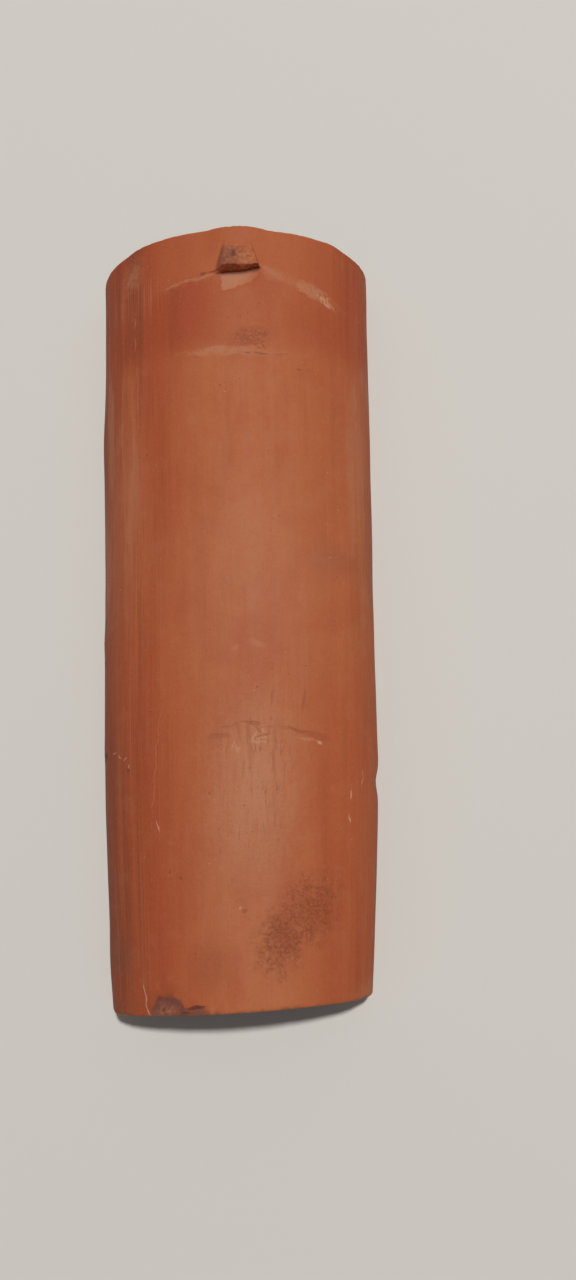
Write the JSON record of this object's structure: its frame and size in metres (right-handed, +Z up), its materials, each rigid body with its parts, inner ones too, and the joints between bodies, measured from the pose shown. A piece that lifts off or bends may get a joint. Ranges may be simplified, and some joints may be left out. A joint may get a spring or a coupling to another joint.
{
  "type": "clay roof tile",
  "caption": "Barrel-shaped terracotta roof tile: a tapered half-round wall, one end squeezed narrower, with a hanging nib on the crown near the wide end.",
  "frame": {"origin": "on the floor plane, at the middle of the tile's length and width", "axes": "+X across the tile, +Y along it towards the wide end with the nib, +Z up, out of the crown; the hollow side faces down"},
  "size_m": [0.176, 0.4628, 0.0798],
  "materials": {
    "fired_clay": "matte, unglazed"
  },
  "bodies": {
    "root": {"roof_tile": "fired_clay"}
  },
  "joints": []
}
